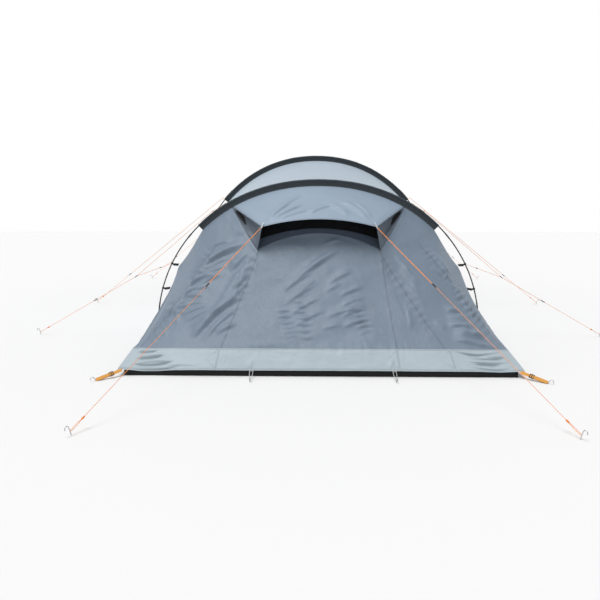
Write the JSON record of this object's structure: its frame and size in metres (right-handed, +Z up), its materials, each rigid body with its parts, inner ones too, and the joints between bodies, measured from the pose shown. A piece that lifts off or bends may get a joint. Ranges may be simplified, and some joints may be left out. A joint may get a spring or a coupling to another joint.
{
  "type": "tunnel tent",
  "caption": "Tunnel tent pitched on arched hoop poles, with a sloping rear wall, hooded rear vent, inner bedroom, hinged front door flap, and guy lines with sliding tensioners and pegs.",
  "frame": {"origin": "on the ground under the middle of the tent body", "axes": "+Z up, +Y from the rear bedroom end to the front door, +X to the right seen from behind the rear end"},
  "size_m": [5.3122, 5.7542, 1.71],
  "materials": {
    "fly": "coated polyester taffeta, slate blue-grey, slight sheen",
    "fly_light": "coated polyester taffeta, pale blue-grey, slightly translucent",
    "hem": "coated polyester, light grey-blue",
    "sleeve": "dark green-grey woven sleeve tape",
    "groundsheet": "black coated sheet, satin",
    "mesh": "black no-see-um mesh",
    "inner": "breathable off-white polyester",
    "rod": "black glass-fibre rod, satin",
    "plastic": "black acetal, matte",
    "guy": "braided orange cord",
    "webbing": "woven orange webbing",
    "steel": "zinc-plated steel"
  },
  "bodies": {
    "tent": {"clip_front_lower_left": "plastic", "clip_front_lower_right": "plastic", "clip_front_upper_left": "plastic", "clip_front_upper_right": "plastic", "clip_middle_lower_left": "plastic", "clip_middle_lower_right": "plastic", "clip_middle_upper_left": "plastic", "clip_middle_upper_right": "plastic", "clip_rear_lower_left": "plastic", "clip_rear_lower_right": "plastic", "clip_rear_upper_left": "plastic", "clip_rear_upper_right": "plastic", "corner_strap_front_left": "webbing", "corner_strap_front_right": "webbing", "corner_strap_rear_left": "webbing", "corner_strap_rear_right": "webbing", "fly_front_bay": "fly", "fly_rear_bay": "fly_light", "front_wall": "fly", "groundsheet": "groundsheet", "guy_front_left": "guy", "guy_front_peg_left": "steel", "guy_front_peg_right": "steel", "guy_front_right": "guy", "guy_middle_left": "guy", "guy_middle_peg_left": "steel", "guy_middle_peg_right": "steel", "guy_middle_right": "guy", "guy_rear_left": "guy", "guy_rear_lower_strand_left": "guy", "guy_rear_lower_strand_right": "guy", "guy_rear_peg_left": "steel", "guy_rear_peg_right": "steel", "guy_rear_right": "guy", "guy_vent_left": "guy", "guy_vent_peg_left": "steel", "guy_vent_peg_right": "steel", "guy_vent_right": "guy", "hoop_pole_front": "rod", "hoop_pole_middle": "rod", "hoop_pole_rear": "rod", "inner_tent": "inner", "pole_sleeve_front": "sleeve", "pole_sleeve_middle": "sleeve", "pole_sleeve_rear": "sleeve", "rear_hem": "hem", "rear_wall": "fly", "vent_hood": "fly", "vent_mesh": "mesh"},
    "guy_vent_tensioner_right_body": {"guy_vent_tensioner_right": "plastic"},
    "guy_vent_tensioner_left_body": {"guy_vent_tensioner_left": "plastic"},
    "guy_rear_tensioner_right_body": {"guy_rear_tensioner_right": "plastic"},
    "guy_rear_tensioner_left_body": {"guy_rear_tensioner_left": "plastic"},
    "guy_middle_tensioner_right_body": {"guy_middle_tensioner_right": "plastic"},
    "guy_middle_tensioner_left_body": {"guy_middle_tensioner_left": "plastic"},
    "guy_front_tensioner_right_body": {"guy_front_tensioner_right": "plastic"},
    "guy_front_tensioner_left_body": {"guy_front_tensioner_left": "plastic"},
    "front_door_body": {"front_door": "fly"},
    "door_zip_slider_body": {"door_zip_slider": "plastic"}
  },
  "joints": [
    {"name": "guy_vent_tensioner_slide_right", "type": "slide", "parent": "tent", "child": "guy_vent_tensioner_right_body", "axis": [0.4344, -0.7585, -0.4858], "range_m": [-0.35, 0.55]},
    {"name": "guy_vent_tensioner_slide_left", "type": "slide", "parent": "tent", "child": "guy_vent_tensioner_left_body", "axis": [-0.4344, -0.7585, -0.4858], "range_m": [-0.35, 0.55]},
    {"name": "guy_rear_tensioner_slide_right", "type": "slide", "parent": "tent", "child": "guy_rear_tensioner_right_body", "axis": [0.8711, 0, -0.4911], "range_m": [-0.28, 0.42]},
    {"name": "guy_rear_tensioner_slide_left", "type": "slide", "parent": "tent", "child": "guy_rear_tensioner_left_body", "axis": [-0.8711, 0, -0.4911], "range_m": [-0.28, 0.42]},
    {"name": "guy_middle_tensioner_slide_right", "type": "slide", "parent": "tent", "child": "guy_middle_tensioner_right_body", "axis": [0.7859, 0, -0.6183], "range_m": [-0.55, 0.32]},
    {"name": "guy_middle_tensioner_slide_left", "type": "slide", "parent": "tent", "child": "guy_middle_tensioner_left_body", "axis": [-0.7859, 0, -0.6183], "range_m": [-0.55, 0.32]},
    {"name": "guy_front_tensioner_slide_right", "type": "slide", "parent": "tent", "child": "guy_front_tensioner_right_body", "axis": [0.7761, 0, -0.6306], "range_m": [-0.55, 0.32]},
    {"name": "guy_front_tensioner_slide_left", "type": "slide", "parent": "tent", "child": "guy_front_tensioner_left_body", "axis": [-0.7761, 0, -0.6306], "range_m": [-0.55, 0.32]},
    {"name": "front_door_hinge", "type": "hinge", "parent": "tent", "child": "front_door_body", "pos_m": [-0.42562, 2.3413, 0.09785], "axis": [0.0038, -0.1624, 0.9867], "range_deg": [0, 105]},
    {"name": "door_zip_slide", "type": "slide", "parent": "tent", "child": "door_zip_slider_body", "axis": [-0.0038, -0.1624, 0.9867], "range_m": [0, 1.1]}
  ]
}
